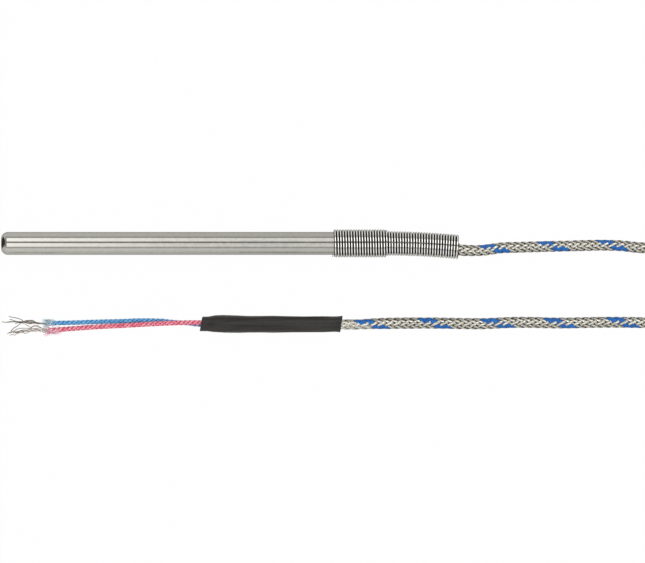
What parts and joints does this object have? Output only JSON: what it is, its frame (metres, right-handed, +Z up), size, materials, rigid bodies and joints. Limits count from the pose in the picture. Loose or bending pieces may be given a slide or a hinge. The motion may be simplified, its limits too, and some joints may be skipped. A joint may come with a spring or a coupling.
{
  "type": "thermocouple probe",
  "caption": "Straight closed-tip thermocouple probe with an anti-kink spring and a wire-braided lead that ends in a shrink sleeve and two bare-ended conductors.",
  "frame": {"origin": "centre of the flat at the sheath's closed tip, on the sheath's own axis", "axes": "+X along the sheath from the tip towards the lead, +Z up from the surface that the probe lies on, the lead folded back on the -Y side"},
  "size_m": [0.2595, 0.0348, 0.0089],
  "materials": {
    "sheath_steel": "drawn stainless tube, bright with fine lengthwise marks",
    "spring_steel": "bright round stainless wire",
    "wire_braid": "stainless wire braid over glass fibre with a blue tracer",
    "iron_wire": "dull bare iron wire",
    "constantan_wire": "dull bare copper-nickel wire",
    "weld_metal": "welded bead",
    "ceramic": "fired ceramic",
    "cement": "set potting cement",
    "sleeve_plastic": "matte black shrunk tube with soft lengthwise creases",
    "tie_plastic": "black plastic-covered twist tie",
    "blue_fibre": "blue glass-fibre braid, varnished",
    "red_fibre": "pink-red glass-fibre braid, varnished"
  },
  "bodies": {
    "root": {"sheath_tube": "sheath_steel", "junction_bead": "weld_metal", "iron_leg": "iron_wire", "constantan_leg": "constantan_wire", "insulator_bead_1": "ceramic", "insulator_bead_2": "ceramic", "insulator_bead_3": "ceramic", "cement_plug": "cement", "kink_spring": "spring_steel", "cable_probe_run": "wire_braid", "cable_hank": "wire_braid", "cable_tail_run": "wire_braid", "hank_tie_1": "tie_plastic", "hank_tie_2": "tie_plastic", "shrink_sleeve": "sleeve_plastic", "blue_lead": "blue_fibre", "red_lead": "red_fibre", "blue_strand_1": "constantan_wire", "blue_strand_2": "constantan_wire", "blue_strand_3": "constantan_wire", "blue_strand_4": "constantan_wire", "blue_strand_5": "constantan_wire", "blue_strand_6": "constantan_wire", "blue_strand_7": "constantan_wire", "red_strand_1": "iron_wire", "red_strand_2": "iron_wire", "red_strand_3": "iron_wire", "red_strand_4": "iron_wire", "red_strand_5": "iron_wire", "red_strand_6": "iron_wire", "red_strand_7": "iron_wire"}
  },
  "joints": []
}
